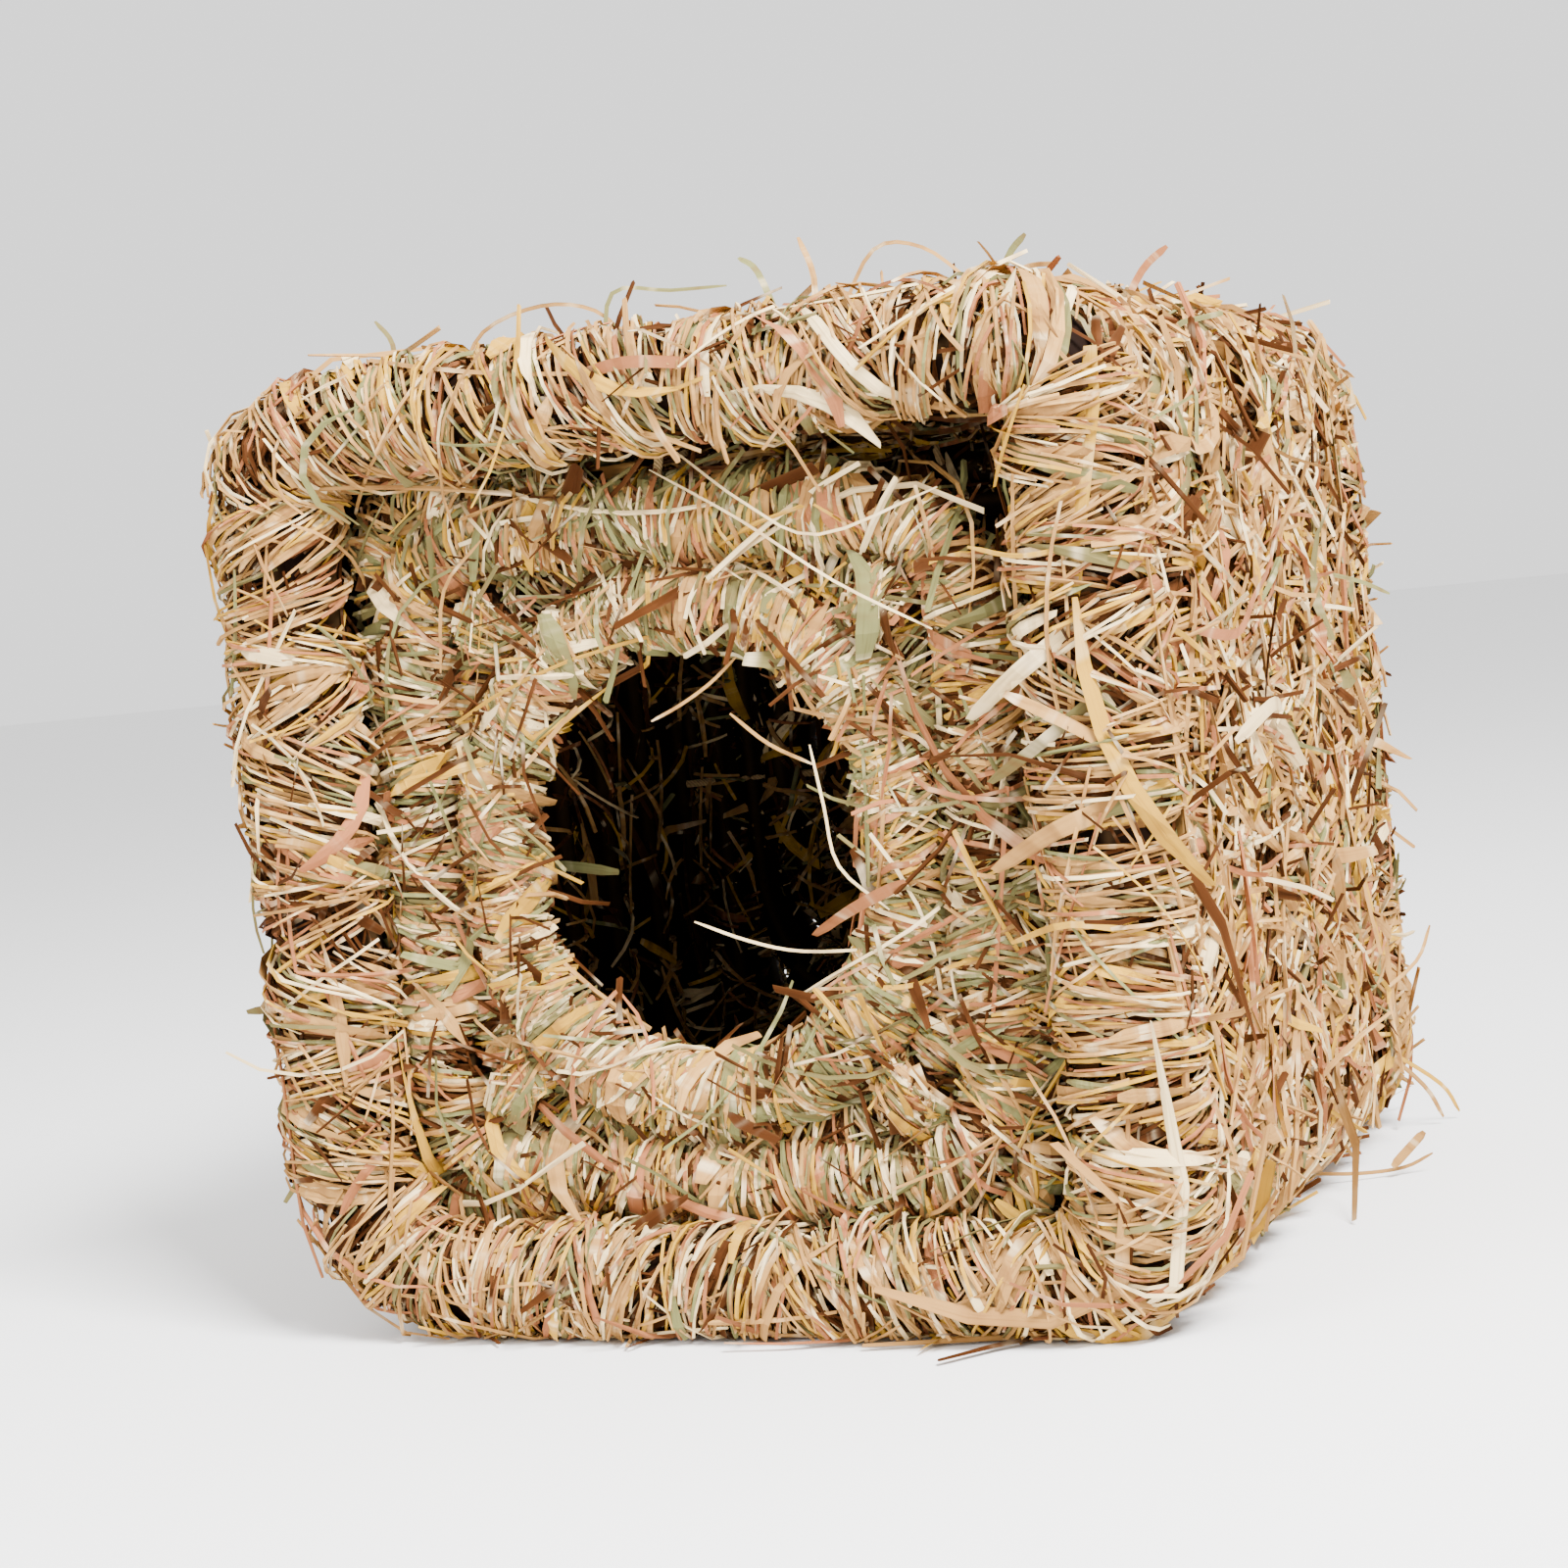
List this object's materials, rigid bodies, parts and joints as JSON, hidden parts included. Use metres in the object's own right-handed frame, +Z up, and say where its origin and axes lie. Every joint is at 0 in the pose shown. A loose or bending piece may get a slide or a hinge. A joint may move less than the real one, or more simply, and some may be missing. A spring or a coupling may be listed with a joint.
{
  "type": "hay rope nest house",
  "caption": "Square nest house of hay-rope hoops sewn side by side, with a recessed coiled front panel round an oval doorway and a closed coiled panel at the rear.",
  "frame": {"origin": "centre of the bounding box at the base, on the surface the house stands on", "axes": "+Z up, the doorway faces -Y, +X to the right seen from the front"},
  "size_m": [0.212, 0.222, 0.218],
  "materials": {
    "hay_rope": "matte",
    "hay_panel": "matte",
    "wire": "satin",
    "twine": "matte"
  },
  "bodies": {
    "root": {"front_rim_roll": "hay_rope", "shell_course_2": "hay_rope", "shell_course_3": "hay_rope", "shell_course_4": "hay_rope", "shell_course_5": "hay_rope", "shell_course_6": "hay_rope", "shell_course_7": "hay_rope", "shell_course_8": "hay_rope", "rear_rim_roll": "hay_rope", "front_panel_ring": "hay_panel", "doorway_ring": "hay_panel", "jamb_bundle": "hay_panel", "rear_panel_ring": "hay_panel", "rear_coil_1": "hay_panel", "rear_coil_2": "hay_panel", "rear_coil_3": "hay_panel", "rear_centre_plug": "hay_panel", "front_plug_upper_left": "hay_panel", "front_plug_upper_right": "hay_panel", "front_plug_lower_right": "hay_panel", "front_plug_lower_left": "hay_panel", "rear_plug_upper_left": "hay_panel", "rear_plug_upper_right": "hay_panel", "rear_plug_lower_right": "hay_panel", "rear_plug_lower_left": "hay_panel", "front_rim_wire": "wire", "middle_wire": "wire", "rear_rim_wire": "wire", "doorway_wire": "wire", "rear_panel_wire": "wire", "seam_stitches": "twine", "front_panel_stitches": "twine", "rear_panel_stitches": "twine", "front_ties": "twine", "rear_ties": "twine"}
  },
  "joints": []
}
